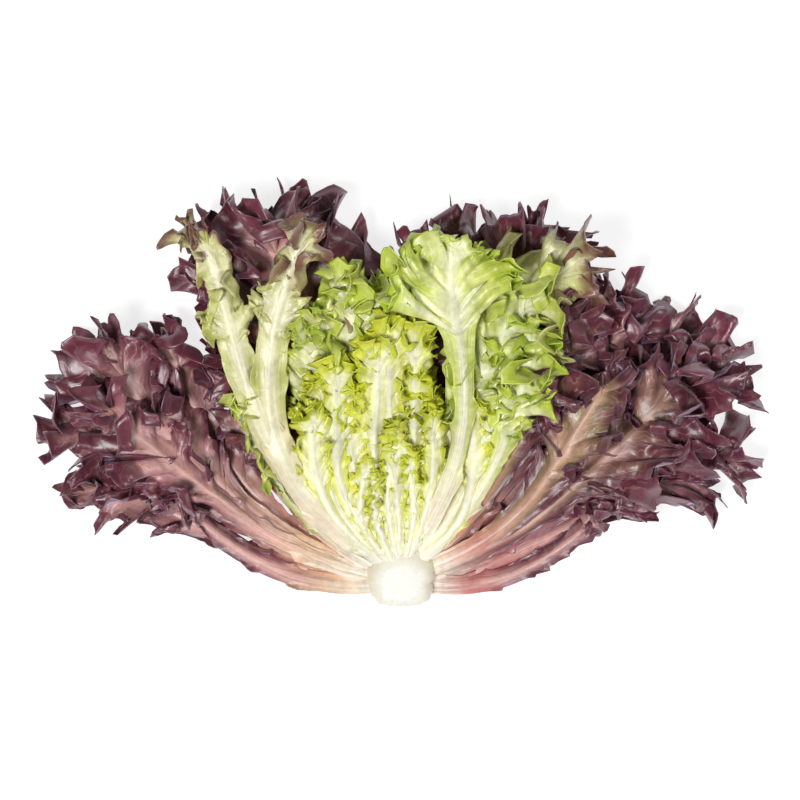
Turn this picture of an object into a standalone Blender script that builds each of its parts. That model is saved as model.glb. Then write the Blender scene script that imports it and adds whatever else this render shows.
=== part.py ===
"""Half a head of frilled red lettuce, cut lengthwise, lying on its rounded back with the cut face up.

The short white core lies at the -Y end. The leaves fan out from it over the table, one ring of
leaves on top of the next: long red ones at the back, then bronze and green ones, and the small
yellow-green heart leaves uppermost. Every leaf is one closed solid with a narrow stalk and a broad
blade whose waves grow towards the margin. Metres, +Z up, the table at z = 0.
"""

import math

import bmesh
import bpy

# The core: a stub of stem, cut off square below and cut in half lengthwise.
CORE_RADIUS = 0.0125
CORE_FOOT = 0.0095
CORE_FOOT_RADIUS = 0.0105
CORE_OFF_TABLE = 0.001
CORE_CLEARANCE = 0.0006
CORE_RINGS = 7
CORE_SIDES = 14

# The leaves.
LEAF_THICKNESS = 0.0012
LEAF_GAP = 0.0006
STALK_HALF_WIDTH = 0.0042
BLADE_HALF_WIDTH = 0.033
STALK_SHARE = 0.42
SHORTEST_START = 0.007
HEAD_REACH = 0.185

# How the rings of leaves lie over each other.
RIM_RADIUS = 0.150
RIM_STEP = 0.0100
RISE_BEGINS = 0.016
SIDE_DROP = 0.34
TIP_RISE = 0.008
TIP_RISE_BEGINS = 0.115
SPLAY_AT_CORE = 0.10
SPLAY_AT_RIM = 0.05
WIDEST_FAN = math.radians(86)

# The waves of a blade, as a share of the room up to the next ring of leaves.
WAVE_SHARE = 0.68
WAVE_RIDGES = 3
LOBE_DEPTH = 0.0045
ROUND_SHOULDER = 0.13
STEPS_ALONG = 8
STEPS_ACROSS = 6

# Colours: base colour as linear red, green and blue, with roughness.
RED = ((0.115, 0.035, 0.050), 0.42)
BRONZE = ((0.190, 0.090, 0.060), 0.45)
GREEN = ((0.420, 0.500, 0.110), 0.48)
PALE = ((0.560, 0.600, 0.170), 0.50)
HEART = ((0.620, 0.640, 0.110), 0.50)
WHITE = ((0.870, 0.850, 0.700), 0.45)

# The rings from the table up: name, colour, and each leaf's bearing from +Y in degrees, positive
# towards +X, with its reach as a share of the head's reach.
RINGS = [
    ("back_leaf", RED, [(-71, 0.84), (-54, 0.93), (-36, 0.90), (-19, 0.98), (-3, 0.88),
                        (13, 0.92), (31, 0.90), (49, 0.98), (65, 0.88)]),
    ("outer_leaf", RED, [(-63, 0.94), (-45, 0.93), (-27, 1.02), (-11, 0.95), (6, 0.86),
                         (22, 0.95), (40, 0.92), (57, 0.96)]),
    ("side_leaf", RED, [(-74, 0.64), (-54, 0.90), (-34, 0.92), (-16, 0.90), (2, 0.82),
                        (18, 0.92), (35, 0.88), (54, 0.94), (72, 0.58)]),
    ("bronze_leaf", BRONZE, [(-60, 0.88), (-40, 0.80), (-20, 0.96), (13, 0.84), (33, 0.80),
                             (55, 0.86)]),
    ("rib_leaf", GREEN, [(-27, 0.97), (-9, 0.72), (12, 0.74), (30, 0.78), (47, 0.74)]),
    ("green_leaf", PALE, [(-31, 0.60), (-12, 0.75), (7, 0.80), (27, 0.64)]),
    ("heart_leaf", HEART, [(-17, 0.52), (-3, 0.62), (13, 0.52)]),
    ("heart_bud", HEART, [(-9, 0.36), (4, 0.43)]),
]

# The head ends where the last ring does: the cut face is level with the top of the leaf bases.
STEP_AT_CORE = LEAF_THICKNESS + LEAF_GAP
CUT_HEIGHT = STEP_AT_CORE * len(RINGS)
CORE_DEPTH = CUT_HEIGHT - CORE_OFF_TABLE


def smooth_step(low, high, value):
    """0 below low, 1 above high, and a smooth rise between them."""
    share = min(1.0, max(0.0, (value - low) / (high - low)))
    return share * share * (3 - 2 * share)


def ring_step(radius, bearing):
    """Height from one ring of leaves to the next, at a distance from the core and a bearing."""
    rise = (RIM_STEP - STEP_AT_CORE) * smooth_step(RISE_BEGINS, RIM_RADIUS, radius)
    return STEP_AT_CORE + max(0.0, rise) * (1 - SIDE_DROP * (bearing / WIDEST_FAN) ** 2)


def underside(ring, radius, bearing):
    """Height of the underside of a ring of leaves, with no waves. The first lies on the table."""
    tip = TIP_RISE * smooth_step(TIP_RISE_BEGINS, HEAD_REACH, radius)
    return tip + ring * ring_step(radius, bearing)


def splayed(bearing, radius):
    """Bearing on the table of a point whose leaf sets out at this bearing: stalks leave the core
    wide, draw together and splay again at the rim."""
    share = radius / HEAD_REACH
    at_core = SPLAY_AT_CORE * (1 - smooth_step(0, 0.5, share))
    at_rim = SPLAY_AT_RIM * smooth_step(0.5, 1, share)
    return bearing * (1 + at_core + at_rim)


def core_radius_at(height):
    """Half width of the rounded core at a height above the table."""
    down = (CUT_HEIGHT - height) / CORE_DEPTH
    return CORE_RADIUS * math.sqrt(max(0.0, 1 - down * down))


def leaf_start(ring):
    """Distance from the core's centre at which a ring's stalks begin, just clear of the core."""
    top = underside(ring, 0, 0) + LEAF_THICKNESS
    return max(SHORTEST_START, core_radius_at(top) + CORE_CLEARANCE)


def half_sectors(bearings):
    """Half the angle that each leaf of a ring may fill without meeting its neighbours."""
    widths = []
    for place, bearing in enumerate(bearings):
        near = [abs(bearing - other) for at, other in enumerate(bearings) if at != place]
        widths.append(min(near) / 2)
    return widths


def half_angle(share, radius, half_sector):
    """Half the angle that a leaf covers at a share of its length."""
    blade = smooth_step(STALK_SHARE, 0.8, share)
    shoulder = 1 - 0.35 * smooth_step(0.8, 1, share)
    half_width = STALK_HALF_WIDTH + (BLADE_HALF_WIDTH - STALK_HALF_WIDTH) * blade * shoulder
    return max(0.02, min(half_width / radius, half_sector - 0.6 * LEAF_GAP / radius))


def wave(across):
    """The ridge height of a blade's waves, from 0 to 1, at a place from -1 to 1 across it."""
    return 0.5 - 0.5 * math.cos(math.pi * WAVE_RIDGES * (across + 1))


def leaf_point(ring, bearing, reach, half_sector, along, across):
    """Place of a point on a leaf's underside, and the height of its wave there."""
    start = leaf_start(ring)
    lobe = LOBE_DEPTH * (wave(across) - 1) + ROUND_SHOULDER * reach * -(across ** 2)
    radius = start + (reach - start) * along + lobe * smooth_step(0.6, 1, along)
    angle = splayed(bearing + across * half_angle(along, radius, half_sector), radius)
    room = ring_step(radius, bearing) - STEP_AT_CORE
    crest = WAVE_SHARE * max(0.0, room) * smooth_step(STALK_SHARE, 1, along) * wave(across)
    height = underside(ring, radius, angle) + crest
    return radius * math.sin(angle), radius * math.cos(angle), height


def material(name, look):
    """A plain Principled material."""
    colour, roughness = look
    made = bpy.data.materials.get(name) or bpy.data.materials.new(name)
    made.use_nodes = True
    surface = made.node_tree.nodes["Principled BSDF"]
    surface.inputs["Base Color"].default_value = (*colour, 1)
    surface.inputs["Roughness"].default_value = roughness
    surface.inputs["Metallic"].default_value = 0
    return made


def solid(name, mesh, look, look_name, holder):
    """A named object on the head's holder, with its normals turned out."""
    bmesh.ops.recalc_face_normals(mesh, faces=mesh.faces)
    data = bpy.data.meshes.new(name)
    mesh.to_mesh(data)
    mesh.free()
    data.shade_smooth()
    data.set_sharp_from_angle(angle=math.radians(40))
    data.materials.append(material(look_name, look))
    made = bpy.data.objects.new(name, data)
    made.parent = holder
    bpy.context.scene.collection.objects.link(made)
    return made


def grid_faces(mesh, rows):
    """Quads between neighbouring rows of vertices."""
    for row, following in zip(rows, rows[1:]):
        for left in range(len(row) - 1):
            mesh.faces.new((row[left], row[left + 1], following[left + 1], following[left]))


def make_leaf(name, ring, look, look_name, bearing, reach, half_sector, holder):
    """One leaf: an underside and a top a thickness above it, closed all round."""
    mesh = bmesh.new()
    skins = []
    for lift in (0, LEAF_THICKNESS):
        rows = []
        for row in range(STEPS_ALONG + 1):
            places = [
                leaf_point(ring, bearing, reach, half_sector, row / STEPS_ALONG,
                           2 * column / STEPS_ACROSS - 1)
                for column in range(STEPS_ACROSS + 1)
            ]
            rows.append([mesh.verts.new((x, y, z + lift)) for x, y, z in places])
        grid_faces(mesh, rows)
        skins.append(rows)
    low, high = skins
    grid_faces(mesh, [low[0], high[0]])
    grid_faces(mesh, [low[-1], high[-1]])
    for side in (0, -1):
        grid_faces(mesh, [[row[side] for row in low], [row[side] for row in high]])
    return solid(name, mesh, look, look_name, holder)


def core_ring(mesh, y, radius, depth):
    """Half a ring of the core's rounded back, open at the cut face."""
    turns = [math.pi * side / CORE_SIDES for side in range(CORE_SIDES + 1)]
    return [
        mesh.verts.new((-radius * math.cos(turn), y, CUT_HEIGHT - depth * math.sin(turn)))
        for turn in turns
    ]


def make_core(holder):
    """The stub of stem: a rounded back and top end, a flat cut face, and a square-cut foot."""
    mesh = bmesh.new()
    foot_depth = CORE_DEPTH * CORE_FOOT_RADIUS / CORE_RADIUS
    rows = [core_ring(mesh, -CORE_FOOT, CORE_FOOT_RADIUS, foot_depth)]
    for ring in range(CORE_RINGS):
        turn = 0.5 * math.pi * ring / CORE_RINGS
        shrink = math.cos(turn)
        rows.append(
            core_ring(mesh, CORE_RADIUS * math.sin(turn), CORE_RADIUS * shrink, CORE_DEPTH * shrink)
        )
    grid_faces(mesh, rows)
    tip = mesh.verts.new((0, CORE_RADIUS, CUT_HEIGHT))
    last = rows[-1]
    for left in range(CORE_SIDES):
        mesh.faces.new((last[left], last[left + 1], tip))
    mesh.faces.new(rows[0])
    mesh.faces.new([row[0] for row in rows] + [tip] + [row[-1] for row in reversed(rows)])
    return solid("core", mesh, WHITE, "core", holder)


def centre_on_origin(holder, parts):
    """Moves the holder so that the origin is under the middle of the head, at the table."""
    corners = [vertex.co for part in parts for vertex in part.data.vertices]
    middle = [(min(c[axis] for c in corners) + max(c[axis] for c in corners)) / 2 for axis in (0, 1)]
    holder.location = (-middle[0], -middle[1], 0)


def main():
    for old in list(bpy.data.objects):
        bpy.data.objects.remove(old)
    holder = bpy.data.objects.new("head", None)
    bpy.context.scene.collection.objects.link(holder)
    parts = [make_core(holder)]
    for ring, (name, look, leaves) in enumerate(RINGS):
        bearings = [math.radians(bearing) for bearing, _ in leaves]
        for number, (bearing, half_sector) in enumerate(zip(bearings, half_sectors(bearings))):
            reach = HEAD_REACH * leaves[number][1]
            parts.append(
                make_leaf(f"{name}_{number + 1}", ring, look, name, bearing, reach, half_sector,
                          holder)
            )
    centre_on_origin(holder, parts)


main()
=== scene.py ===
# %% [markdown]
# # Half a head of frilled red lettuce
#
# The head was cut lengthwise and lies on its rounded back, cut face up, so its leaves fan out from
# the white core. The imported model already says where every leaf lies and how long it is. This
# script gives each of those plain leaves its real surface: a thick pale rib that thins towards the
# tip, a blade that ruffles because its edge is longer than its middle, pointed lobes, and the wine
# red that washes from the edge towards the core.

# %% Load the head as a fixed frame
import math
import random

import bpy
import numpy as np
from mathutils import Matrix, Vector


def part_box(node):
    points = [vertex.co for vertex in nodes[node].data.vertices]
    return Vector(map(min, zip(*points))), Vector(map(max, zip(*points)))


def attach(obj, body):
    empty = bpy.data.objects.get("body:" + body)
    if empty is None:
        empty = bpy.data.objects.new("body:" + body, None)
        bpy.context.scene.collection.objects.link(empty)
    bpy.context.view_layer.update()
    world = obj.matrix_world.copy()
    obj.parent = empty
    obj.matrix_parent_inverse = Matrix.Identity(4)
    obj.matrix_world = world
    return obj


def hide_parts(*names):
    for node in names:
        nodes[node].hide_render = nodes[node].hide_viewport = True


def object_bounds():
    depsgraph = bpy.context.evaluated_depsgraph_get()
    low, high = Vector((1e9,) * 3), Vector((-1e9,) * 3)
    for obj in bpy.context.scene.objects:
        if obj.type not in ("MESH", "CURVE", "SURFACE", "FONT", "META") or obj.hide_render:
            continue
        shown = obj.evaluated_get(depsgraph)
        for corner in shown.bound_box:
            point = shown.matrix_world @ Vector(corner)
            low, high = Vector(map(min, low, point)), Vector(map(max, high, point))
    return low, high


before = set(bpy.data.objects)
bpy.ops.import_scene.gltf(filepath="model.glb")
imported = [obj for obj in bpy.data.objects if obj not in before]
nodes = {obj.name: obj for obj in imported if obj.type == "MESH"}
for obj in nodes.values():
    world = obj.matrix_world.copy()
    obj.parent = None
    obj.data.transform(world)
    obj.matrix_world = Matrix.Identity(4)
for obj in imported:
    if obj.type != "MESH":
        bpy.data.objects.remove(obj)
cad_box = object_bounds()
print(f"{len(nodes)} parts, {(cad_box[1] - cad_box[0]) * 1000} mm")

# %% [markdown]
# ## Formulas as nodes
#
# A leaf's shape is a formula: where a point of its surface lies, given how far along and how far
# out it is. Geometry Nodes can hold such a formula, but one Math node at a time. `Field` below
# lets the formula be written as ordinary Python: each `+` or `*` adds the node that does the sum.


# %% A number or vector that lives in a node tree
class Field:
    """A value at every point of a mesh or surface, read from one socket of a node tree."""

    def __init__(self, tree, socket):
        self.tree = tree
        self.socket = socket

    def calculate(self, operation, *others):
        """One Math node on this value, or a Vector Math node if any of the values is a vector."""
        values = (self, *others)
        in_space = any(isinstance(value, Field) and value.is_vector() for value in values)
        node = self.tree.nodes.new("ShaderNodeVectorMath" if in_space else "ShaderNodeMath")
        node.operation = operation
        for value, socket in zip(values, node.inputs):
            plug(value, socket)
        return Field(self.tree, node.outputs["Vector" if in_space else "Value"])

    def is_vector(self):
        return self.socket.type in ("VECTOR", "RGBA")

    def __add__(self, other):
        return self.calculate("ADD", other)

    def __sub__(self, other):
        return self.calculate("SUBTRACT", other)

    def __mul__(self, other):
        if self.is_vector() and not (isinstance(other, Field) and other.is_vector()):
            return self.scaled(other)
        if isinstance(other, Field) and other.is_vector() and not self.is_vector():
            return other.scaled(self)
        return self.calculate("MULTIPLY", other)

    def __truediv__(self, other):
        return self.calculate("DIVIDE", other)

    def __pow__(self, other):
        return self.calculate("POWER", other)

    __radd__ = __add__
    __rmul__ = __mul__

    def __rsub__(self, other):
        return self * -1 + other

    def scaled(self, amount):
        node = self.tree.nodes.new("ShaderNodeVectorMath")
        node.operation = "SCALE"
        plug(self, node.inputs[0])
        plug(amount, node.inputs["Scale"])
        return Field(self.tree, node.outputs[0])

    def sin(self):
        return self.calculate("SINE")

    def cos(self):
        return self.calculate("COSINE")

    def size(self):
        return self.calculate("ABSOLUTE")

    def sign(self):
        return self.calculate("SIGN")

    def fraction(self):
        return self.calculate("FRACT")

    def exp(self):
        return self.calculate("EXPONENT")

    def at_least(self, other):
        return self.calculate("MAXIMUM", other)

    def at_most(self, other):
        return self.calculate("MINIMUM", other)

    def cross(self, other):
        return self.calculate("CROSS_PRODUCT", other)

    def unit(self):
        return self.calculate("NORMALIZE")

    def bell(self):
        """1 where this value is 0, falling smoothly to nothing on both sides."""
        return (self * self * -1.0).exp()

    def rise(self, low, high, start=0.0, end=1.0):
        """A smooth change from start to end while this value goes from low to high."""
        node = self.tree.nodes.new("ShaderNodeMapRange")
        node.interpolation_type = "SMOOTHSTEP"
        for value, name in ((self, "Value"), (low, "From Min"), (high, "From Max"),
                            (start, "To Min"), (end, "To Max")):
            plug(value, node.inputs[name])
        return Field(self.tree, node.outputs["Result"])

    def parts(self):
        node = self.tree.nodes.new("ShaderNodeSeparateXYZ")
        plug(self, node.inputs[0])
        return [Field(self.tree, socket) for socket in node.outputs]


def plug(value, socket):
    """Sends a Field, or a plain number, into a socket."""
    if isinstance(value, Field):
        value.tree.links.new(value.socket, socket)
    else:
        socket.default_value = value


def set_inputs(node, values):
    """Sets a node's inputs to plain values, by their names."""
    for name, value in values.items():
        node.inputs[name].default_value = value


def vector(tree, x, y, z):
    node = tree.nodes.new("ShaderNodeCombineXYZ")
    for value, socket in zip((x, y, z), node.inputs):
        plug(value, socket)
    return Field(tree, node.outputs[0])


def blend(first, second, share):
    """first where share is 0, second where it is 1."""
    return (second - first) * share + first


def noise(tree, place, scale=1.0, detail=1.0):
    """Smooth random numbers between about -1 and 1: along a line for a number, in space for a vector."""
    node = tree.nodes.new("ShaderNodeTexNoise")
    line = not place.is_vector()
    node.noise_dimensions = "1D" if line else "3D"
    plug(place, node.inputs["W" if line else "Vector"])
    plug(scale, node.inputs["Scale"])
    plug(detail, node.inputs["Detail"])
    return Field(tree, node.outputs["Fac"]) * 4 - 2


# %% [markdown]
# ## Where each leaf lies
#
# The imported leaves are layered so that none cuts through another. Their middles make good spines:
# averaging a leaf's points over short steps of distance from the core gives its bearing and its
# height there. A lettuce stalk also bows outwards before it turns up towards its tip, more so
# the further round the fan it grows.

# %% Read a leaf's spine from its solid
CORE_FOOT = 0.0095
SPINE_POINTS = 13
KERNEL = 0.009
# A stalk runs this far into the core, and its foot sinks below the cut face by a depth of its own,
# over the first share of its length.
ROOT_DEPTH = 0.0065
ROOT_SINK = 0.0065
SINK_SHARE = 0.16
BOW = 0.011
BOW_SPREAD = 2.2
DRAW_UP = 0.085
SWAY = 0.003
LIFT_SPREAD = 0.002

core_low, core_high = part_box("core")
FAN_CENTRE = Vector(((core_low.x + core_high.x) / 2, core_low.y + CORE_FOOT, 0))
CUT_HEIGHT = core_high.z


def leaf_points(name):
    """A leaf's points as distance from the core's centre, bearing from +Y, and height."""
    points = np.array([vertex.co for vertex in nodes[name].data.vertices])
    across, along = points[:, 0] - FAN_CENTRE.x, points[:, 1] - FAN_CENTRE.y
    return np.hypot(across, along), np.arctan2(across, along), points[:, 2]


def leaf_spine(name, manner, chance):
    """Points down the middle of a leaf, from just inside the core to its tip."""
    radius, bearing, height = leaf_points(name)
    middle = float(np.mean(bearing)) + manner["Turn"]
    start, reach = float(radius.min()), float(radius.max()) * manner["Reach"]
    bow = BOW * math.sin(max(-1, min(1, BOW_SPREAD * middle)) * math.pi / 2) + manner["Bow"]
    draw = DRAW_UP * reach * abs(math.sin(middle)) ** 3 * math.copysign(1, middle)
    sway = chance.uniform(-SWAY, SWAY)
    lift = manner["Lift"] + chance.uniform(-LIFT_SPREAD, LIFT_SPREAD)
    sink = ROOT_SINK * (0.45 + 0.6 * abs(math.sin(37 * middle)))
    spine = []
    for step in range(SPINE_POINTS):
        share = step / (SPINE_POINTS - 1)
        at = start - ROOT_DEPTH + (reach - start + ROOT_DEPTH) * share
        near = np.exp(-(((radius - max(at, start)) / KERNEL) ** 2))
        turn = float((bearing * near).sum() / near.sum()) + manner["Turn"]
        turn += manner["Splay"] * share ** manner["Late"]
        level = float((height * near).sum() / near.sum())
        out = bow * math.sin(math.pi * min(1, 1.15 * share)) - draw * share ** 1.5
        out += sway * math.sin(2 * math.pi * share) * share
        level += lift * math.sin(0.5 * math.pi * share) + manner["Arch"] * math.sin(math.pi * share)
        level -= sink * max(0, 1 - share / SINK_SHARE)
        spine.append((
            FAN_CENTRE.x + at * math.sin(turn) + out * math.cos(middle),
            FAN_CENTRE.y + at * math.cos(turn) - out * math.sin(middle),
            level,
        ))
    return spine


print(f"fan centre {FAN_CENTRE}, cut face at {CUT_HEIGHT * 1000:.1f} mm")

# %% [markdown]
# ## One leaf as a node tree
#
# A grid is bent into a leaf. Its columns are the veins, which leave the rib one after the other
# and run out to the margin. Its rows run from the upper rib out to the margin and back under the
# leaf to the rib, so the sheet closes on itself once the doubled points along the rib are merged.
#
# Every vein ends on an outline: half an ellipse round the tip, then the long slope down to the
# stalk. The margin's frills are waves along it that grow from nothing at the rib, because that is
# how a leaf whose edge grows faster than its middle has to fold.

# %% The sizes that a leaf takes
LEAF_SIZES = {
    "Half width": 0.03, "Blade length": 0.04, "Stalk half width": 0.0045, "Rib thickness": 0.003,
    "Blade thickness": 0.0005, "Folds": 3.0, "Ease": 1.05, "Fold height": 0.007, "Frill height": 0.003,
    "Lobes": 9.0, "Lobe depth": 0.010, "Tooth depth": 0.003, "Branches": 3.0, "Branch depth": 0.0,
    "Lean": 0.006, "Curl": 1.0, "Blister height": 0.0008, "Crumple height": 0.002,
    "Side frill": 0.0035, "Taper": 4.5, "Roll": 0.0, "Cup": 0.0, "Flush": 0.5, "Blush": 0.0, "Seed": 0.0,
}
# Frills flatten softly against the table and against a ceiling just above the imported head.
FLOOR_GAP = 0.0003
FLOOR_EASE = 0.002
CEILING = cad_box[1].z + 0.010
CEILING_EASE = 0.01
# The share of the way from tip to foot that is blade, and the angle that the blade's ellipse turns.
BLADE_SHARE = 0.74
OUTLINE_TURN = 2.45
VEIN_LEAN = 0.95
ROW_EASE = 1.35
CURL_SHARE = 0.5
NEVER_FLAT = 0.011
CLOSED_FROM = 0.97
RIB_EASE = 0.7
VEINS_TO_A_BRANCH = 4.0
VEIN_WIDTH = 0.0006
VEIN_HEIGHT = 0.0006
FORK_VEIN_WIDTH = 0.0018
SKIN_GAP = 0.00005
WELD = 0.00001


def group_input(tree, name):
    """The tree's own input of that name, as a Field."""
    node = tree.nodes["sizes"]
    return Field(tree, node.outputs[name])


def new_leaf_tree():
    """A tree with a carrier curve in, named sizes, and a leaf out."""
    tree = bpy.data.node_groups.new("frilled leaf", "GeometryNodeTree")
    tree.interface.new_socket("Spine", in_out="INPUT", socket_type="NodeSocketGeometry")
    for name in ("Veins", "Rows"):
        tree.interface.new_socket(name, in_out="INPUT", socket_type="NodeSocketInt")
    for name, value in LEAF_SIZES.items():
        made = tree.interface.new_socket(name, in_out="INPUT", socket_type="NodeSocketFloat")
        made.default_value = value
    tree.interface.new_socket("Material", in_out="INPUT", socket_type="NodeSocketMaterial")
    tree.interface.new_socket("Leaf", in_out="OUTPUT", socket_type="NodeSocketGeometry")
    tree.nodes.new("NodeGroupInput").name = "sizes"
    return tree


# %% The outline, and the vein that runs to each point of it
def outline(tree, turn, length):
    """The margin's place across and along the leaf. turn is 0 at the tip and 1 at the stalk's foot."""
    half_width = group_input(tree, "Half width")
    blade = group_input(tree, "Blade length")
    stalk = group_input(tree, "Stalk half width")
    angle = (turn / BLADE_SHARE).at_most(1) * OUTLINE_TURN
    crown = length - blade
    down = ((turn - BLADE_SHARE) / (1 - BLADE_SHARE)).at_least(0)
    shoulder = half_width * math.sin(OUTLINE_TURN)
    lowest = blade * math.cos(OUTLINE_TURN) + crown
    round_x, round_y = half_width * angle.sin(), blade * angle.cos() + crown
    slope_x = (shoulder - stalk) * (1 - down) ** group_input(tree, "Taper") + stalk
    slope_y = lowest * (1 - down)
    on_slope = down.rise(0, 0.02)
    return blend(round_x, slope_x, on_slope), blend(round_y, slope_y, on_slope)


def vein_root(length, blade, margin_x, margin_y):
    """How far along the rib a vein sets out: below its end, since veins lean towards the tip."""
    start = margin_y - margin_x * VEIN_LEAN
    return start.at_least(0).calculate("SMOOTH_MIN", length - blade * 0.75, 0.01)


# %% The folds and frills of the blade
def fade(turn, before, after, end=0.0):
    """1 round the blade, fading to end where the outline turns into the stalk's slope."""
    return turn.rise(BLADE_SHARE - before, BLADE_SHARE + after, 1.0, end)


def folds(tree, turn, side_turn, outward):
    """Height and sideways shift of the ruffles, in two sizes that grow towards the margin."""
    seed = group_input(tree, "Seed")
    count = group_input(tree, "Folds")
    big = group_input(tree, "Fold height")
    small = group_input(tree, "Frill height")
    on_blade = fade(turn, 0.15, 0.08, 0.08)
    drift = noise(tree, side_turn * 2.3 + seed) * 0.35
    phase = (side_turn * count + drift) * (2 * math.pi)
    big_here = big * on_blade * (noise(tree, side_turn * 3.1 + seed + 7.3) * 0.45 + 0.95)
    big_here = big_here * outward ** group_input(tree, "Ease") * turn.rise(0.0, BLADE_SHARE, 1.2, 0.7)
    fine_phase = phase * 3.1 + noise(tree, side_turn * 7.0 + seed + 3.1) * 2.4 + outward * 1.5
    small_here = small * on_blade * outward ** 3
    small_here = small_here * (noise(tree, side_turn * 9.0 + seed + 1.7) * 0.6 + 1.0)
    height = big_here * phase.sin() + small_here * fine_phase.sin()
    shift = big_here * (phase * 2).sin() * -0.55 + small_here * (fine_phase * 2).sin() * -0.6
    return height, shift


def pointed(phase, sharpness):
    """1 at the tip of a lobe, 0 in the round hollow between two."""
    return 1 - (phase * math.pi).sin().size() ** sharpness


def fork_place(tree, side_turn):
    """Counts the leaf's main branches round its margin: whole numbers fall in the gaps between them."""
    seed = group_input(tree, "Seed")
    return side_turn * group_input(tree, "Branches") + noise(tree, side_turn * 2.9 + seed + 6.6) * 0.3


def margin_cut(tree, turn, side_turn, fork):
    """How far the margin falls short of the outline: round gaps between branches, lobes and teeth."""
    seed = group_input(tree, "Seed")
    count = group_input(tree, "Lobes")
    place = side_turn * count + noise(tree, side_turn * 4.7 + seed + 5.9) * 0.9
    place = place + noise(tree, side_turn * count * 0.8 + seed + 1.9) * 0.35
    lobes = group_input(tree, "Lobe depth") * (1 - (pointed(place, 1.2) / 0.7).at_most(1))
    lobes = lobes * (noise(tree, side_turn * count * 0.6 + seed + 8.8) * 0.6 + 0.9).at_least(0.1)
    teeth = group_input(tree, "Tooth depth") * (1 - (pointed(place * 2.7 + 0.4, 1.1) / 0.8).at_most(1))
    teeth = teeth * (noise(tree, side_turn * count * 1.1 + seed + 3.3) * 0.8 + 0.8).at_least(0.1)
    gap = ((fork * (2 * math.pi)).cos() * 0.5 + 0.5) ** 2.6
    gap = gap * (noise(tree, fork * 0.9 + seed + 2.5) * 0.4 + 0.95)
    slits = group_input(tree, "Branch depth") * gap
    return (lobes + teeth + slits) * fade(turn, 0.1, 0.06)


def curled(reach, bend):
    """A strip of some length bent round a circle through an angle: how far out and up its end is."""
    return reach * bend.sin() / bend, reach * (1 - bend.cos()) / bend


# %% Bend the grid into a leaf
def store(tree, geometry, name, value):
    node = tree.nodes.new("GeometryNodeStoreNamedAttribute")
    node.data_type = "FLOAT"
    node.domain = "POINT"
    node.inputs["Name"].default_value = name
    plug(geometry, node.inputs["Geometry"])
    plug(value, node.inputs["Value"])
    return Field(tree, node.outputs["Geometry"])


def read(tree, name):
    node = tree.nodes.new("GeometryNodeInputNamedAttribute")
    node.data_type = "FLOAT"
    node.inputs["Name"].default_value = name
    return Field(tree, node.outputs["Attribute"])


def through(tree, kind, geometry, **inputs):
    """Sends a geometry through one node, with its other inputs set by name."""
    node = tree.nodes.new(kind)
    plug(geometry, node.inputs[0])
    for name, value in inputs.items():
        plug(value, node.inputs[name.replace("_", " ")])
    return Field(tree, node.outputs[0])


def sample_spine(tree, spine, along):
    """Position and direction of the spine at a distance along it."""
    node = tree.nodes.new("GeometryNodeSampleCurve")
    node.mode = "LENGTH"
    node.use_all_curves = True
    plug(spine, node.inputs["Curves"])
    plug(along, node.inputs["Length"])
    return Field(tree, node.outputs["Position"]), Field(tree, node.outputs["Tangent"])


def turned(tree, direction, axis, angle):
    node = tree.nodes.new("ShaderNodeVectorRotate")
    node.rotation_type = "AXIS_ANGLE"
    plug(direction, node.inputs["Vector"])
    plug(axis, node.inputs["Axis"])
    plug(angle, node.inputs["Angle"])
    return Field(tree, node.outputs["Vector"])


def vein_grid(tree):
    """The flat sheet, with how far round, how far out and which skin each point is."""
    grid = tree.nodes.new("GeometryNodeMeshGrid")
    set_inputs(grid, {"Size X": 2, "Size Y": 2})
    plug(group_input(tree, "Veins"), grid.inputs["Vertices X"])
    plug(group_input(tree, "Rows"), grid.inputs["Vertices Y"])
    place = Field(tree, tree.nodes.new("GeometryNodeInputPosition").outputs[0])
    side_turn, row, _ = place.parts()
    outward = 1 - row.size() ** ROW_EASE
    return Field(tree, grid.outputs["Mesh"]), side_turn, row.sign(), outward


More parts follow.
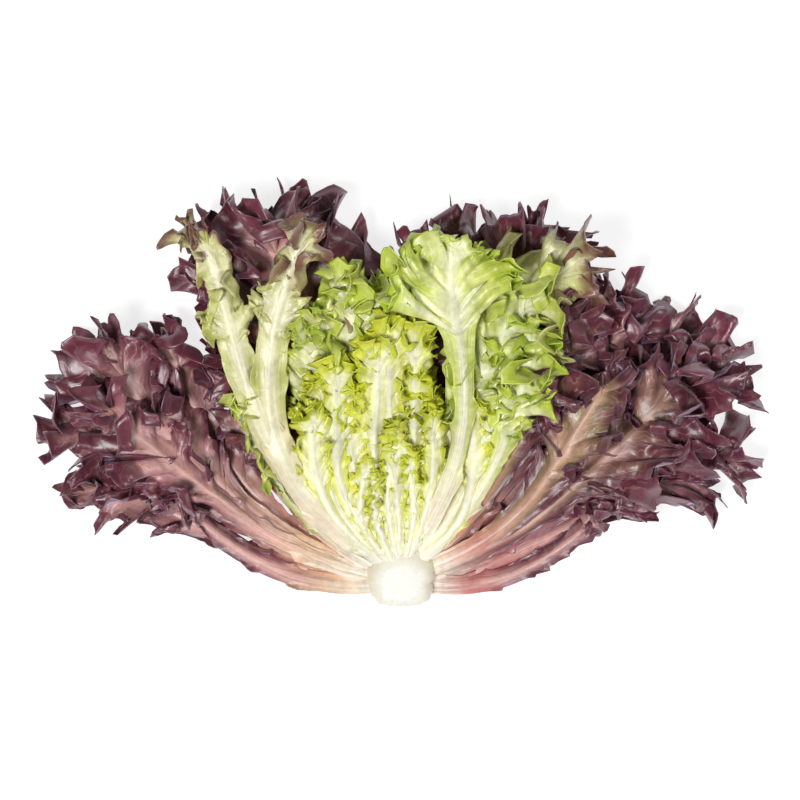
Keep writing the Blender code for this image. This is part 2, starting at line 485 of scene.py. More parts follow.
def build_leaf_tree():
    """The whole leaf: a spine in, a closed and coloured leaf out."""
    tree = new_leaf_tree()
    spine = through(tree, "GeometryNodeMeshToCurve", group_input(tree, "Spine"))
    rounded = tree.nodes.new("GeometryNodeCurveSplineType")
    rounded.spline_type = "CATMULL_ROM"
    plug(spine, rounded.inputs["Curve"])
    spine = Field(tree, rounded.outputs["Curve"])
    length_node = tree.nodes.new("GeometryNodeCurveLength")
    plug(spine, length_node.inputs["Curve"])
    length = Field(tree, length_node.outputs["Length"])

    sheet, side_turn, skin, outward = vein_grid(tree)
    turn = side_turn.size()
    seed = group_input(tree, "Seed")
    blade = group_input(tree, "Blade length")
    half_width = group_input(tree, "Half width")

    margin_x, margin_y = outline(tree, turn, length)
    root_y = vein_root(length, blade, margin_x, margin_y)
    run_x, run_y = margin_x, margin_y - root_y
    vein = (run_x * run_x + run_y * run_y) ** 0.5 + 0.0001
    face_x, face_y = run_x / vein * side_turn.sign(), run_y / vein

    # The outer part of each vein falls short at a hollow of the margin, then curls up or down.
    fork = fork_place(tree, side_turn)
    cut = margin_cut(tree, turn, side_turn, fork).at_most(vein * 0.75)
    edge = outward ** 3
    frill = group_input(tree, "Side frill") * turn.rise(BLADE_SHARE - 0.1, BLADE_SHARE)
    frill = frill * turn.rise(0.86, CLOSED_FROM, 1.0, 0.0)
    frill = frill * noise(tree, side_turn * 30.0 + seed + 2.2, detail=2.0).at_least(0)
    tail = ((outward - (1 - CURL_SHARE)) / CURL_SHARE).at_least(0)
    bend = noise(tree, side_turn * 6.1 + seed + 4.4) * group_input(tree, "Curl")
    bend = bend * fade(turn, 0.1, 0.06, 0.1) + NEVER_FLAT
    tail_out, tail_up = curled(vein * CURL_SHARE * tail, bend * tail)
    out = vein * outward.at_most(1 - CURL_SHARE) + tail_out + frill * edge - cut * edge

    height, shift = folds(tree, turn, side_turn, outward)
    lean = noise(tree, side_turn * group_input(tree, "Lobes") * 0.75 + seed + 9.1)
    shift = shift + lean * group_input(tree, "Lean") * edge * fade(turn, 0.1, 0.06)
    height = height + tail_up + frill * 1.5 * edge * (side_turn * 190.0).sin()
    flat_x = face_x * out + face_y * shift
    flat_y = root_y + face_y * out - face_x * shift
    flat = vector(tree, flat_x, flat_y, seed)
    loose = outward.rise(0.02, 0.5) * fade(turn, 0.1, 0.1, 0.2)
    blisters = noise(tree, flat, 160.0, 2.0) * group_input(tree, "Blister height")
    crumples = noise(tree, flat, 60.0, 1.0) * group_input(tree, "Crumple height")
    height = height + (blisters + crumples) * loose
    widest = flat_x / half_width
    height = height + group_input(tree, "Cup") * widest * widest

    on_spine = flat_y.at_least(0).at_most(length)
    along = on_spine / length
    middle, ahead = sample_spine(tree, spine, on_spine)
    up = vector(tree, 0.0, 0.0, 1.0)
    across = turned(tree, ahead.cross(up).unit(), ahead, group_input(tree, "Roll") * along.rise(0.15, 0.75))
    normal = across.cross(ahead)
    place = middle + across * flat_x + normal * height + ahead * (flat_y - on_spine)

    # The rib: a thick ridge that narrows and thins towards the tip, with fainter ridges on its veins.
    rib_width = group_input(tree, "Stalk half width") * along.rise(0.35, 1.0, 1.0, 0.22)
    rib = (flat_x / (rib_width * RIB_EASE)).bell()
    on_blade = fade(turn, 0.0, 0.1)
    vein_place = (fork * VEINS_TO_A_BRANCH + noise(tree, side_turn * 5.0 + seed) * 0.3).fraction() - 0.5
    vein_gap = (margin_x * 0.22 + 0.002) * outward
    side_vein = (vein_place * vein_gap / VEIN_WIDTH).bell() * outward.rise(0.25, 0.95, 0.6, 0.0) * on_blade
    fork_gap = half_width * (OUTLINE_TURN / BLADE_SHARE) / group_input(tree, "Branches") * outward
    fork_width = outward.rise(0.0, 1.0, FORK_VEIN_WIDTH, VEIN_WIDTH)
    fork_vein = ((fork.fraction() - 0.5) * fork_gap / fork_width).bell()
    side_vein = side_vein.at_least(fork_vein * outward.rise(0.6, 1.0, 1.0, 0.2) * on_blade)
    rib_thick = group_input(tree, "Rib thickness") * rib * along.rise(0.25, 0.95, 1.0, 0.06)
    puff = group_input(tree, "Blade thickness") * 0.5 + rib_thick * 0.5 + side_vein * VEIN_HEIGHT
    closing = turn.rise(CLOSED_FROM, 1.0, 1.0, 0.0)
    puff = puff * skin.size() * closing

    x, y, z = place.parts()
    z = z.calculate("SMOOTH_MAX", puff + (FLOOR_GAP + SKIN_GAP), FLOOR_EASE)
    z = z.calculate("SMOOTH_MIN", CEILING - puff, CEILING_EASE)
    place = vector(tree, x, y, z)

    # The fold height also goes to the shader, which uses it to paint the ridges paler and the hollows
    # darker: painted light and painted shade.
    for name, value in (("turn", side_turn), ("outward", outward), ("along", along),
                        ("rib", rib.at_least(side_vein * 0.7)), ("painted_fold_light", height * 100.0),
                        ("flush", group_input(tree, "Flush")), ("blush", group_input(tree, "Blush")),
                        ("puff", puff)):
        sheet = store(tree, sheet, name, value)
    apart = normal * (skin * SKIN_GAP) * closing
    sheet = through(tree, "GeometryNodeSetPosition", sheet, Position=place + apart)
    sheet = through(tree, "GeometryNodeMergeByDistance", sheet, Distance=WELD)
    facing = Field(tree, tree.nodes.new("GeometryNodeInputNormal").outputs[0])
    sheet = through(tree, "GeometryNodeSetPosition", sheet, Offset=facing * read(tree, "puff"))
    sheet = through(tree, "GeometryNodeRealizeInstances", sheet)
    sheet = through(tree, "GeometryNodeSetMaterial", sheet, Material=group_input(tree, "Material"))
    leaf_out = tree.nodes.new("NodeGroupOutput")
    plug(sheet, leaf_out.inputs["Leaf"])
    return tree


leaf_nodes = build_leaf_tree()
print(f"frilled leaf: {len(leaf_nodes.nodes)} nodes")

# %% [markdown]
# ## Leaf colours
#
# One group of shader nodes washes a leaf from its pale base, through the colour of its stalk, to
# the colour of its blade and of its margin. The rib keeps its own paler colour. Fine veins and
# a mottle break it up, and painted light and painted shade make the ridges of the frills paler than the
# hollows.


# %% The shared wash of colour, as a shader group
def shader_socket(tree, name, kind, way="INPUT", value=None):
    made = tree.interface.new_socket(name, in_out=way, socket_type=kind)
    if value is not None:
        made.default_value = value
    return made


def mix_colour(tree, first, second, share, way="MIX"):
    node = tree.nodes.new("ShaderNodeMix")
    node.data_type = "RGBA"
    node.blend_type = way
    plug(share, node.inputs["Factor"])
    for value, socket in ((first, node.inputs[6]), (second, node.inputs[7])):
        plug(value, socket)
    return Field(tree, node.outputs[2])


def attribute(tree, name):
    node = tree.nodes.new("ShaderNodeAttribute")
    node.attribute_name = name
    return Field(tree, node.outputs["Fac"])


def build_wash():
    """The group that colours every leaf."""
    tree = bpy.data.node_groups.new("leaf wash", "ShaderNodeTree")
    for name in ("Root", "Stalk", "Blushed", "Blade", "Patch", "Margin", "Rib"):
        shader_socket(tree, name, "NodeSocketColor")
    for name, value in (("Stalk end", 0.5), ("Flush from", 0.3), ("Flush full", 0.8), ("Flush start", 0.6),
                        ("Flush end", 0.95), ("Mottle", 0.4)):
        shader_socket(tree, name, "NodeSocketFloat", value=value)
    shader_socket(tree, "Color", "NodeSocketColor", "OUTPUT")
    shader_socket(tree, "Shine", "NodeSocketFloat", "OUTPUT")
    shader_socket(tree, "Height", "NodeSocketFloat", "OUTPUT")
    tree.nodes.new("NodeGroupInput").name = "sizes"
    along, outward = attribute(tree, "along"), attribute(tree, "outward")
    rib, painted_fold_light, turn = attribute(tree, "rib"), attribute(tree, "painted_fold_light"), attribute(tree, "turn")
    flush = attribute(tree, "flush")
    coordinates = tree.nodes.new("ShaderNodeTexCoord")
    place = Field(tree, coordinates.outputs["Object"])
    patches = noise(tree, place, 45.0, 3.0)
    grain = noise(tree, place, 420.0, 3.0)

    side = turn.sign() * outward
    streaks = noise(tree, vector(tree, side * 6.0, along * 3.0, flush * 40.0), 1.0, 4.0)
    edge = outward * along.rise(group_input(tree, "Flush from"), group_input(tree, "Flush full"))
    edge = edge + patches * 0.18 * group_input(tree, "Mottle") + flush - 0.5
    stalk_end = group_input(tree, "Stalk end")
    stalk = mix_colour(tree, group_input(tree, "Stalk"), group_input(tree, "Blushed"),
                       (attribute(tree, "blush") + streaks * 0.35).at_least(0).at_most(1))
    colour = mix_colour(tree, group_input(tree, "Root"), stalk, (along + patches * 0.04).rise(0.05, 0.26))
    blade = mix_colour(tree, group_input(tree, "Blade"), group_input(tree, "Patch"),
                       noise(tree, place, 70.0, 2.0).rise(-0.1, 0.5))
    colour = mix_colour(tree, colour, blade,
                        (along + outward * 0.12 + patches * 0.05).rise(stalk_end - 0.16, stalk_end + 0.12))
    on_rib = rib * outward.rise(0.5, 0.95, 1.0, 0.15) * along.rise(0.2, 0.35)
    colour = mix_colour(tree, colour, group_input(tree, "Rib"), on_rib)
    flushed = edge.rise(group_input(tree, "Flush start"), group_input(tree, "Flush end"))
    colour = mix_colour(tree, colour, group_input(tree, "Margin"), flushed * (1 - on_rib * 0.6))

    # Fine veins between the ridges, paler than the blade.
    net = (turn * 40.0 + noise(tree, place, 110.0, 2.0) * 0.9).fraction() - 0.5
    net = net.size().rise(0.0, 0.16, 1.0, 0.0) * along.rise(0.35, 0.6) * outward.rise(0.5, 1.0, 1.0, 0.2)
    colour = mix_colour(tree, colour, group_input(tree, "Rib"), net * 0.3)
    # The grain, patches and streaks are the leaf's own mottle. The fold height adds painted light on the
    # ridges and painted shade in the hollows.
    mottle_and_fold_light = grain * 0.3 + patches * 0.5 + streaks * 0.7 + painted_fold_light * 0.2
    mottle_and_fold_light = mottle_and_fold_light * group_input(tree, "Mottle")
    mottled_and_fold_lit = colour * (mottle_and_fold_light * 0.34 + 1.0).at_least(0.2)
    output = tree.nodes.new("NodeGroupOutput")
    plug(mottled_and_fold_lit, output.inputs["Color"])
    plug((grain * 0.05 + rib * 0.08 + 0.40).at_least(0.18), output.inputs["Shine"])
    plug(grain * 0.3 + net * 0.6 + streaks * 0.5, output.inputs["Height"])
    return tree


wash = build_wash()
print(f"leaf wash: {len(wash.nodes)} nodes")


# %% A material for each kind of leaf
def linear(red, green, blue):
    """A colour as the eye sees it, 0 to 255, as the light that the shader works in."""
    def channel(value):
        share = value / 255
        return share / 12.92 if share <= 0.04045 else ((share + 0.055) / 1.055) ** 2.4
    return (channel(red), channel(green), channel(blue), 1.0)


LEAF_COLOURS = {
    "red_leaf": {
        "Root": (252, 244, 228), "Stalk": (240, 204, 168), "Blushed": (204, 112, 108),
        "Blade": (184, 124, 130), "Patch": (132, 70, 84), "Margin": (106, 44, 60), "Rib": (216, 166, 156),
        "Stalk end": 0.46, "Flush from": 0.27, "Flush full": 0.7, "Flush start": 0.3,
        "Flush end": 0.8, "Mottle": 1.3,
    },
    "bronze_leaf": {
        "Root": (248, 234, 212), "Stalk": (226, 184, 154), "Blushed": (204, 118, 112),
        "Blade": (146, 132, 82), "Patch": (112, 62, 66), "Margin": (100, 44, 56), "Rib": (208, 160, 138),
        "Stalk end": 0.40, "Flush from": 0.15, "Flush full": 0.6, "Flush start": 0.15,
        "Flush end": 0.65, "Mottle": 1.3,
    },
    "green_leaf": {
        "Root": (248, 242, 222), "Stalk": (240, 230, 196), "Blushed": (226, 190, 164),
        "Blade": (210, 208, 138), "Patch": (188, 190, 98), "Margin": (122, 78, 66), "Rib": (242, 236, 202),
        "Stalk end": 0.58, "Flush from": 0.6, "Flush full": 0.95, "Flush start": 0.4,
        "Flush end": 0.85, "Mottle": 0.9,
    },
    "pale_leaf": {
        "Root": (250, 247, 232), "Stalk": (246, 242, 214), "Blushed": (242, 224, 196),
        "Blade": (206, 214, 104), "Patch": (176, 192, 62), "Margin": (178, 196, 56), "Rib": (244, 242, 208),
        "Stalk end": 0.46, "Flush from": 0.3, "Flush full": 0.8, "Flush start": 0.7,
        "Flush end": 1.1, "Mottle": 1.0,
    },
    "heart_leaf": {
        "Root": (250, 248, 230), "Stalk": (248, 246, 214), "Blushed": (248, 246, 214),
        "Blade": (228, 228, 104), "Patch": (212, 216, 50), "Margin": (204, 210, 30), "Rib": (252, 250, 228),
        "Stalk end": 0.40, "Flush from": 0.25, "Flush full": 0.7, "Flush start": 0.3,
        "Flush end": 1.1, "Mottle": 1.0,
    },
}


SHEEN_ON = ("red_leaf", "bronze_leaf")
LEAF_SURFACE = {
    "Subsurface Weight": 0.12, "Subsurface Radius": (1.0, 0.9, 0.35), "Subsurface Scale": 0.0012,
    "Specular IOR Level": 0.8, "Coat Weight": 0.55, "Coat Roughness": 0.36, "Sheen Roughness": 0.4,
    "Sheen Tint": linear(216, 196, 226),
}


def leaf_material(name, look):
    """The leaf wash in one set of colours, on a waxy skin that lets a little light through."""
    made = bpy.data.materials.new(name.replace("_", " "))
    made.use_nodes = True
    tree = made.node_tree
    surface = tree.nodes["Principled BSDF"]
    group = tree.nodes.new("ShaderNodeGroup")
    group.node_tree = wash
    for key, value in look.items():
        group.inputs[key].default_value = linear(*value) if isinstance(value, tuple) else value
    bump = tree.nodes.new("ShaderNodeBump")
    set_inputs(bump, {"Strength": 0.35, "Distance": 0.0006})
    tree.links.new(group.outputs["Color"], surface.inputs["Base Color"])
    tree.links.new(group.outputs["Shine"], surface.inputs["Roughness"])
    tree.links.new(group.outputs["Height"], bump.inputs["Height"])
    tree.links.new(bump.outputs["Normal"], surface.inputs["Normal"])
    set_inputs(surface, {**LEAF_SURFACE, "Sheen Weight": 0.5 if name in SHEEN_ON else 0.0})
    return made


materials = {name: leaf_material(name, look) for name, look in LEAF_COLOURS.items()}
print(f"{len(materials)} leaf materials")

# %% [markdown]
# ## Grow every leaf
#
# Each ring of leaves has a manner of its own: long and lobed at the back, frilly and small at the
# heart. A leaf takes its length from its solid and its other sizes from its ring, varied a little
# by its own seed, so that no two are alike.

# %% The manner of each ring of leaves
# Turn swings a whole leaf round the core and Splay only its tip, the more sharply the higher Late
# is. Reach stretches it, Bow pushes its middle sideways, Lift raises its tip and Arch its middle.
# Each leaflet has a turn, a splay and a reach of its own.
PLAIN = {
    "Turn": 0.0, "Splay": 0.0, "Late": 3.0, "Reach": 1.0, "Bow": 0.0, "Lift": 0.0, "Arch": 0.0,
    "Veins": 321, "Rows": 55, "Leaflets": [(0.0, 0.0, 1.0)],
}
# Half width and Blade length are shares of the leaf's own length.
RED = {
    "Veins": 321, "Rows": 49, "Lobes": 13, "Lobe depth": 0.011, "Tooth depth": 0.003,
    "Blister height": 0.0012, "Crumple height": 0.003,
}
HEART = {
    "Veins": 561, "Rows": 29, "Folds": 9.0, "Lobes": 20, "Branches": 2.4, "Curl": 0.8, "Lean": 0.002,
}
RINGS = {
    "back_leaf": ("red_leaf", {
        **RED, "Veins": 301, "Rows": 45,
        "Half width": 0.21, "Blade length": 0.27, "Stalk half width": 0.0038, "Rib thickness": 0.0032,
        "Taper": 7.0, "Folds": 4.8, "Fold height": 0.0066, "Frill height": 0.0021, "Branches": 3.4,
        "Branch depth": 0.022, "Curl": 1.0, "Flush": 0.85}),
    "outer_leaf": ("red_leaf", {
        **RED, "Half width": 0.21, "Blade length": 0.27, "Stalk half width": 0.0040, "Rib thickness": 0.0036,
        "Taper": 8.0, "Folds": 5.0, "Fold height": 0.007, "Frill height": 0.0021, "Branches": 3.4,
        "Branch depth": 0.023, "Curl": 1.1, "Flush": 0.85}),
    "side_leaf": ("red_leaf", {
        **RED, "Half width": 0.19, "Blade length": 0.25, "Stalk half width": 0.0042, "Rib thickness": 0.0038,
        "Taper": 8.5, "Folds": 5.2, "Fold height": 0.007, "Frill height": 0.0022, "Branches": 3.2,
        "Branch depth": 0.023, "Curl": 1.1, "Flush": 0.8}),
    "bronze_leaf": ("bronze_leaf", {
        **RED, "Half width": 0.17, "Blade length": 0.23, "Stalk half width": 0.0038, "Rib thickness": 0.0040,
        "Taper": 10.0, "Folds": 5.6, "Fold height": 0.008, "Frill height": 0.0022, "Lobes": 12,
        "Lobe depth": 0.012, "Branches": 3.0, "Branch depth": 0.024, "Curl": 1.1,
        "Blister height": 0.0014, "Crumple height": 0.004, "Flush": 0.75}),
    "rib_leaf": ("green_leaf", {
        "Half width": 0.14, "Blade length": 0.22, "Stalk half width": 0.0040, "Rib thickness": 0.0036,
        "Taper": 4.0, "Folds": 4.6, "Fold height": 0.006, "Frill height": 0.002, "Lobes": 10,
        "Lobe depth": 0.010, "Tooth depth": 0.003, "Branches": 3.0, "Branch depth": 0.020, "Curl": 1.2,
        "Blister height": 0.0010}),
    "green_leaf": ("pale_leaf", {
        "Veins": 401, "Rows": 51,
        "Half width": 0.17, "Blade length": 0.24, "Stalk half width": 0.0034, "Rib thickness": 0.0036,
        "Taper": 4.5, "Folds": 6.0, "Fold height": 0.006, "Frill height": 0.0028, "Lobes": 13,
        "Lobe depth": 0.007, "Tooth depth": 0.0028, "Branches": 4.0, "Branch depth": 0.012, "Curl": 1.4,
        "Blister height": 0.0010}),
    "heart_leaf": ("heart_leaf", {
        **HEART, "Leaflets": [(-0.09, 0.0, 0.94), (0.0, 0.0, 0.86), (0.09, 0.0, 1.0)],
        "Half width": 0.11, "Blade length": 0.25, "Stalk half width": 0.0027, "Rib thickness": 0.0046,
        "Taper": 5.0, "Ease": 2.0, "Fold height": 0.0048, "Frill height": 0.0013, "Lobe depth": 0.003,
        "Tooth depth": 0.0014, "Branch depth": 0.006, "Blister height": 0.0005,
        "Crumple height": 0.0012, "Cup": -0.005}),
    "heart_bud": ("heart_leaf", {
        **HEART, "Leaflets": [(-0.10, 0.0, 0.9), (0.0, 0.0, 0.78), (0.09, 0.0, 1.0)],
        "Half width": 0.10, "Blade length": 0.34, "Stalk half width": 0.0019, "Rib thickness": 0.0038,
        "Taper": 4.0, "Ease": 1.6, "Fold height": 0.0036, "Frill height": 0.0011, "Lobe depth": 0.0024,
        "Tooth depth": 0.0012, "Branch depth": 0.004, "Blister height": 0.0004,
        "Crumple height": 0.001, "Cup": -0.004}),
}

# %% Leaves that stand out from their ring
SPECIAL = {
    # The broad forked rib at the upper left, bare to its lobed bronze tips.
    "rib_leaf_1": {
        "Leaflets": [(-0.008, -0.06, 1.0), (0.008, 0.24, 0.88)], "Late": 4.0,
        "Half width": 0.085, "Blade length": 0.17, "Stalk half width": 0.0056, "Taper": 6.0,
        "Branches": 2.6, "Branch depth": 0.018, "Folds": 5, "Fold height": 0.005, "Lobes": 13,
        "Ease": 1.8, "Lobe depth": 0.007, "Tooth depth": 0.004, "Flush": 0.42, "Bow": -0.009,
        "Lift": 0.007, "Arch": 0.003, "Side frill": 0.003, "Rib thickness": 0.0044, "Curl": 0.8},
    "rib_leaf_2": {"Half width": 0.08, "Blade length": 0.28, "Branches": 2.4, "Branch depth": 0.018},
    # The long leaf beside the heart: a flat white rib that opens into a smooth green fan.
    "green_leaf_3": {
        "Half width": 0.185, "Blade length": 0.085, "Stalk half width": 0.0038, "Taper": 9.0,
        "Folds": 6.0, "Fold height": 0.0075, "Lobes": 16, "Frill height": 0.0024, "Lobe depth": 0.005,
        "Branch depth": 0.005, "Bow": 0.010, "Lift": 0.006, "Arch": 0.008, "Turn": 0.02, "Ease": 1.3,
        "Cup": 0.004, "Veins": 361, "Rows": 47},
    # A slender pale leaf with small frills, left of the forked rib.
    "green_leaf_1": {
        "Half width": 0.05, "Blade length": 0.26, "Stalk half width": 0.0016, "Turn": -0.20, "Lift": -0.007,
        "Folds": 9.0, "Fold height": 0.004, "Frill height": 0.003},
    "green_leaf_2": {
        "Leaflets": [(-0.17, 0.0, 0.90), (-0.07, 0.0, 0.92), (0.02, 0.0, 1.0), (0.09, 0.0, 0.94)],
        "Half width": 0.12, "Veins": 461, "Rows": 33, "Folds": 12, "Ease": 1.5, "Fold height": 0.0042,
        "Frill height": 0.0016, "Lobes": 26, "Lobe depth": 0.0045, "Tooth depth": 0.0018},
    "green_leaf_4": {
        "Leaflets": [(-0.10, 0.0, 0.88), (0.0, 0.0, 1.0)], "Half width": 0.15, "Blade length": 0.20,
        "Taper": 8.0, "Reach": 1.10, "Splay": 0.02, "Lift": 0.003, "Folds": 8, "Lobes": 20, "Rows": 41},
    # The heart: tufts of narrow leaflets round one another, clear of the fan's rib.
    "heart_leaf_1": {
        "Leaflets": [(-0.20, 0.0, 0.92), (-0.11, 0.0, 1.02), (-0.02, 0.0, 1.08), (0.07, 0.0, 0.95)]},
    "heart_leaf_2": {"Leaflets": [(-0.07, 0.0, 0.94), (0.01, 0.0, 1.02), (0.11, 0.0, 1.0)]},
    "heart_leaf_3": {"Leaflets": [(-0.18, 0.0, 1.0), (-0.10, 0.0, 0.9), (0.18, 0.0, 0.92)]},
    # The green frills that show behind the fan.
    "bronze_leaf_4": {
        "Splay": 0.34, "Reach": 1.04, "Lift": 0.010, "Flush": 0.45, "Folds": 8.5, "Lobes": 16,
        "Lobe depth": 0.009},
    "rib_leaf_3": {
        "Splay": 0.30, "Reach": 1.06, "Half width": 0.17, "Lift": 0.010, "Flush": 0.45, "Folds": 8},
    # The left side: long leaves that swing out and down, and their big lobes.
    "back_leaf_1": {
        "Turn": 0.03, "Splay": -0.16, "Half width": 0.12, "Blade length": 0.20,
        "Taper": 9.0, "Folds": 3.0, "Lobes": 9, "Fold height": 0.005},
    "outer_leaf_1": {
        "Turn": 0.02, "Splay": -0.08, "Half width": 0.15, "Blade length": 0.22,
        "Taper": 9.0, "Lobes": 12},
    "side_leaf_1": {"Half width": 0.07, "Blade length": 0.14, "Turn": 0.03},
    "back_leaf_2": {"Turn": -0.04, "Reach": 1.04, "Lobes": 8},
    "side_leaf_2": {"Turn": -0.06, "Splay": 0.12, "Reach": 1.04, "Lobes": 8},
    "outer_leaf_2": {"Turn": -0.12, "Splay": 0.16, "Reach": 0.93, "Half width": 0.13, "Lobes": 9},
    "bronze_leaf_1": {"Lobes": 8, "Half width": 0.15},
    # The right side's lowest leaves are slender and drawn up, clear of the table in front.
    "side_leaf_9": {"Half width": 0.07, "Blade length": 0.14},
    "back_leaf_9": {"Half width": 0.14, "Blade length": 0.2, "Taper": 7.0, "Splay": 0.10, "Reach": 1.02},
    "outer_leaf_8": {"Reach": 1.03},
    # Shorter leaves leave the notches in the fan's outline.
    "bronze_leaf_2": {"Reach": 0.85, "Half width": 0.11, "Turn": -0.02},
    "back_leaf_3": {"Turn": 0.07, "Half width": 0.11},
    "outer_leaf_3": {"Turn": 0.02, "Half width": 0.13},
    "side_leaf_3": {"Turn": 0.03, "Half width": 0.11},
    "back_leaf_5": {"Reach": 0.80},
    "side_leaf_5": {"Reach": 0.90},
    "outer_leaf_4": {"Turn": -0.05, "Half width": 0.15},
    "back_leaf_7": {"Reach": 0.94},
}
# Leaves whose colours aren't their ring's.
SLOTS = {
    "bronze_leaf_1": "red_leaf", "bronze_leaf_2": "red_leaf", "bronze_leaf_3": "red_leaf",
    "bronze_leaf_4": "green_leaf", "rib_leaf_3": "pale_leaf", "rib_leaf_4": "bronze_leaf",
    "rib_leaf_5": "bronze_leaf",
}
SHARES_OF_LENGTH = ("Half width", "Blade length")
VARIED = ("Half width", "Fold height", "Lobe depth", "Folds", "Lobes", "Curl")
VARIATION = 0.12
MOST_ROLL = 0.35


def set_input(modifier, name, value):
    """Sets a node tree's input on a modifier, by the identifier behind its name."""
    for item in leaf_nodes.interface.items_tree:
        if item.item_type == "SOCKET" and item.in_out == "INPUT" and item.name == name:
            modifier[item.identifier] = value


def place_object(name, data):
    made = bpy.data.objects.new(name, data)
    bpy.context.scene.collection.objects.link(made)
    return made


def spine_object(name, points):
    mesh = bpy.data.meshes.new(name + " spine")
    mesh.from_pydata(points, [(at, at + 1) for at in range(len(points) - 1)], [])
    return place_object(name + " spine", mesh)


def apply_nodes(carrier, name):
    """Turns the carrier's node result into a plain mesh object of its own."""
    depsgraph = bpy.context.evaluated_depsgraph_get()
    mesh = bpy.data.meshes.new_from_object(carrier.evaluated_get(depsgraph))
    mesh.name = name
    mesh.shade_smooth()
    made = place_object(name, mesh)
    old = carrier.data
    bpy.data.objects.remove(carrier)
    bpy.data.meshes.remove(old)
    return made


def join(objects):
    """Several mesh objects as one, with their attributes kept."""
    with bpy.context.temp_override(active_object=objects[0], selected_editable_objects=objects):
        bpy.ops.object.join()
    return objects[0]


def grow_leaflet(node_name, manner, slot, chance, seed):
    """One frilled sheet on its own spine."""
    spine = leaf_spine(node_name, manner, chance)
    length = math.dist(spine[0], spine[-1])
    bearing = math.atan2(spine[-1][0] - FAN_CENTRE.x, spine[-1][1] - FAN_CENTRE.y)
    values = {name: manner.get(name, value) for name, value in LEAF_SIZES.items()}
    for name in SHARES_OF_LENGTH:
        values[name] *= length
    for name in VARIED:
        values[name] *= chance.uniform(1 - VARIATION, 1 + VARIATION)
    values["Flush"] += chance.uniform(-0.08, 0.08) + 0.16 * math.sin(bearing)
    values["Roll"] += -MOST_ROLL * bearing + chance.uniform(-0.15, 0.15)
    values["Cup"] += chance.uniform(-0.002, 0.003)
    values["Blush"] = 0.5 + 0.6 * math.sin(bearing) + chance.uniform(-0.15, 0.15)
    values["Seed"] = seed
    carrier = spine_object(node_name, spine)
    modifier = carrier.modifiers.new("frilled leaf", "NODES")
    modifier.node_group = leaf_nodes
    for name, value in values.items():
        set_input(modifier, name, float(value))
    for name in ("Veins", "Rows"):
        set_input(modifier, name, manner[name])
    set_input(modifier, "Material", materials[slot])
    return apply_nodes(carrier, node_name.replace("leaf", "frilled_leaf").replace("bud", "frilled_bud"))


def grow(node_name, number):
    """One leaf, or a tuft of leaflets, in the place of its solid."""
    slot, sizes = RINGS[node_name.rsplit("_", 1)[0]]
    slot = SLOTS.get(node_name, slot)
    manner = {**PLAIN, **sizes, **SPECIAL.get(node_name, {})}
    chance = random.Random(number * 7 + 11)
    leaflets = []
    for place, (turn, splay, reach) in enumerate(manner["Leaflets"]):
        own = dict(manner, Turn=manner["Turn"] + turn, Splay=manner["Splay"] + splay,
                   Reach=manner["Reach"] * reach)
        leaflets.append(grow_leaflet(node_name, own, slot, chance, number * 13.7 + place * 5.3))
    leaf = join(leaflets)
    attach(leaf, "root")
    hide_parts(node_name)
    return leaf


leaf_names = sorted(name for name in nodes if name != "core")
leaves = [grow(name, number) for number, name in enumerate(leaf_names)]
triangles = sum(2 * len(leaf.data.polygons) for leaf in leaves)
print(f"{len(leaves)} leaves, {triangles} triangles")

# %% [markdown]
# ## The cut core
#
# The stem was cut off square below and then halved with the head, which leaves a flat, moist,
# cream-white face. Its flanks are fluted where the leaf bases grow out of it. A short profile, swept
# round the core's centre, gives the face, the rounded rim and the fluted flank in one closed shape.

# %% Sweep the core's profile round its centre
CORE_RADIUS = (core_high.x - core_low.x) / 2
CORE_LOW = core_low.z
CORE_SIDES = 120
FLUTES = 17
FLUTE_DEPTH = 0.02
CORNER = 7
# Towards the leaves the core reaches further, under their ribs, and its edge slopes down.
BROADER = 0.34
SLOPE = 0.5
SLOPE_FROM = 0.55
# Share of the core's radius and share of its height, from the middle of the face down and under.
CORE_PROFILE = [
    (0.12, 1.0), (0.25, 1.0), (0.4, 1.0), (0.52, 0.998), (0.64, 0.99), (0.75, 0.975), (0.85, 0.94),
    (0.93, 0.88), (0.99, 0.8), (1.04, 0.68), (1.08, 0.52), (1.1, 0.36), (1.08, 0.2), (0.98, 0.08),
    (0.75, 0.02), (0.4, 0.0),
]


def core_reach(turn):
    """Distance from the centre to the core's edge: round, but square where the stem was cut off."""
    round_edge = CORE_RADIUS * (1 + 0.02 * math.sin(3 * turn + 1) + 0.015 * math.sin(7 * turn))
    round_edge *= 1 + BROADER * max(0, math.cos(turn)) ** 0.7
    below = max(1e-6, -math.cos(turn))
    return (round_edge ** -CORNER + (CORE_FOOT / below) ** -CORNER) ** (-1 / CORNER)


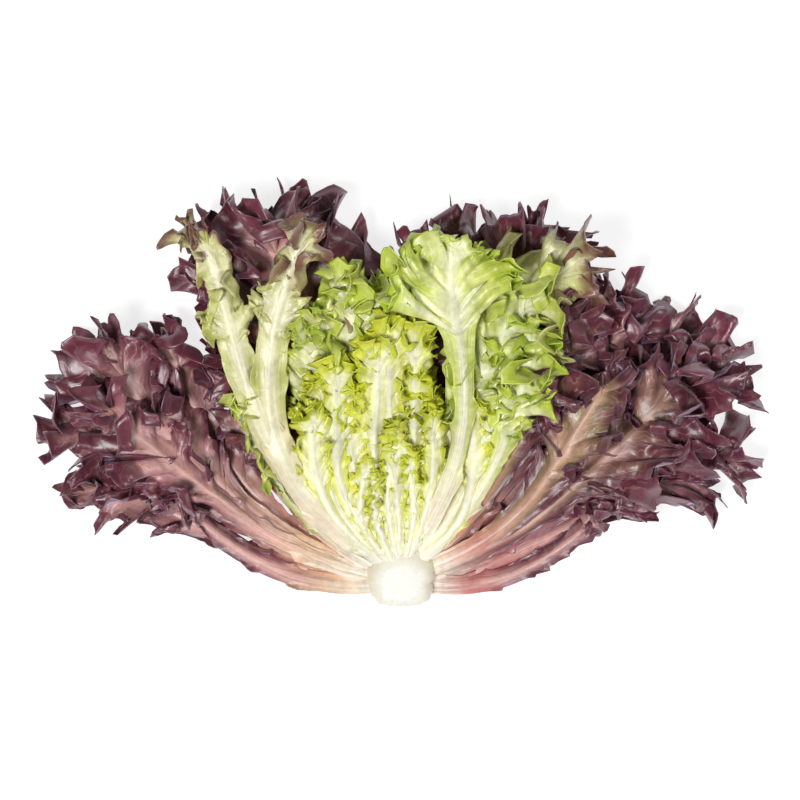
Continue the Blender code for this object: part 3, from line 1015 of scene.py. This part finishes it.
def make_core():
    """Rings of points swept round the centre, skinned and capped."""
    rows = []
    for share, level in CORE_PROFILE:
        row = []
        for side in range(CORE_SIDES):
            turn = 2 * math.pi * (side / CORE_SIDES - 0.5)
            flute = 1 - FLUTE_DEPTH * share ** 6 * (0.5 + 0.5 * math.sin(FLUTES * turn))
            reach = core_reach(turn) * share * flute
            ripple = 0.00012 * math.sin(5 * turn + 9 * share) * share
            ramp = SLOPE * max(0, math.cos(0.7 * turn)) * max(0, share - SLOPE_FROM) * level
            row.append((
                FAN_CENTRE.x + reach * math.sin(turn),
                FAN_CENTRE.y + reach * math.cos(turn),
                CORE_LOW + (CUT_HEIGHT - CORE_LOW) * (level - ramp) + ripple,
            ))
        rows.append(row)
    points = [point for row in rows for point in row]
    faces = []
    for row in range(len(rows) - 1):
        for side in range(CORE_SIDES):
            after = (side + 1) % CORE_SIDES
            first, second = row * CORE_SIDES, (row + 1) * CORE_SIDES
            faces.append((first + side, second + side, second + after, first + after))
    top = len(points)
    points.append((FAN_CENTRE.x, FAN_CENTRE.y, CUT_HEIGHT))
    points.append((FAN_CENTRE.x, FAN_CENTRE.y, CORE_LOW))
    last = (len(rows) - 1) * CORE_SIDES
    for side in range(CORE_SIDES):
        after = (side + 1) % CORE_SIDES
        faces.append((top, side, after))
        faces.append((top + 1, last + after, last + side))
    mesh = bpy.data.meshes.new("cut_core")
    mesh.from_pydata(points, [], faces)
    mesh.shade_smooth()
    return place_object("cut_core", mesh)


def core_material():
    """Cream flesh: paler fibres that run out from the centre, and a warmer rim where it has dried."""
    made = bpy.data.materials.new("core flesh")
    made.use_nodes = True
    tree = made.node_tree
    surface = tree.nodes["Principled BSDF"]
    coordinates = tree.nodes.new("ShaderNodeTexCoord")
    centred = tree.nodes.new("ShaderNodeMapping")
    centred.inputs["Location"].default_value = (-FAN_CENTRE.x, -FAN_CENTRE.y, 0)
    tree.links.new(coordinates.outputs["Object"], centred.inputs["Vector"])
    place = Field(tree, centred.outputs[0])
    x, y, _ = place.parts()
    out = ((x * x + y * y) ** 0.5) / CORE_RADIUS
    bearing = x.calculate("ARCTAN2", y)
    fibres = noise(tree, vector(tree, bearing * 7.0, out * 1.5, 0.0), 1.0, 4.0)
    pith = noise(tree, place, 350.0, 3.0)
    ring = ((out - 0.66) / 0.07).bell()
    colour = mix_colour(tree, linear(250, 248, 240), linear(240, 232, 204),
                        out.rise(0.5, 1.15) * 0.8 + fibres * 0.08)
    colour = mix_colour(tree, colour, linear(226, 220, 176), ring * 0.35 * fibres.rise(-0.2, 0.6))
    plug(colour, surface.inputs["Base Color"])
    plug((pith * 0.08 + 0.38).at_least(0.2), surface.inputs["Roughness"])
    bump = tree.nodes.new("ShaderNodeBump")
    set_inputs(bump, {"Strength": 0.2, "Distance": 0.0003})
    plug(fibres * 0.6 + pith * 0.4 + ring * 0.6, bump.inputs["Height"])
    tree.links.new(bump.outputs["Normal"], surface.inputs["Normal"])
    set_inputs(surface, {
        "Subsurface Weight": 0.25, "Subsurface Radius": (1.0, 0.9, 0.6), "Subsurface Scale": 0.002})
    return made


core = make_core()
core.data.materials.append(core_material())
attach(core, "root")
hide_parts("core")
print(f"core: {len(core.data.polygons)} faces")

# %% [markdown]
# ## Table, light and camera

# %% A pale table under soft light
scene = bpy.context.scene
scene.view_settings.view_transform = "Standard"

bpy.ops.mesh.primitive_plane_add(size=6)
table = bpy.context.object
table.name = "table"
white = bpy.data.materials.new("white table")
white.use_nodes = True
set_inputs(white.node_tree.nodes["Principled BSDF"], {
    "Base Color": (0.36, 0.36, 0.365, 1), "Roughness": 0.8,
    "Emission Color": (1, 1, 1, 1), "Emission Strength": 0.78})
table.data.materials.append(white)

world = bpy.data.worlds.new("studio")
scene.world = world
world.use_nodes = True
set_inputs(world.node_tree.nodes["Background"], {"Color": (1, 1, 1, 1), "Strength": 0.08})


def soft_box(name, place, size, power):
    """An area light that looks at the head."""
    light = bpy.data.lights.new(name, "AREA")
    light.shape = "SQUARE"
    light.size = size
    light.energy = power
    made = place_object(name, light)
    made.location = place
    made.rotation_euler = (-Vector(place)).to_track_quat("-Z", "Y").to_euler()


soft_box("key", (-1.0, -0.9, 3.0), 1.0, 84)
soft_box("fill", (1.9, 0.1, 2.3), 0.9, 28)

# %% Camera straight above the head
FRAME_WIDTH = 0.337
CAMERA_HEIGHT = 1.1
LOOK_AT = Vector((0.0021, -0.0038, 0))

camera_data = bpy.data.cameras.new("camera")
camera = place_object("camera", camera_data)
scene.camera = camera
camera.location = LOOK_AT + Vector((0, 0, CAMERA_HEIGHT))
camera_data.sensor_width = 36
camera_data.lens = 36 * (CAMERA_HEIGHT - CUT_HEIGHT) / FRAME_WIDTH
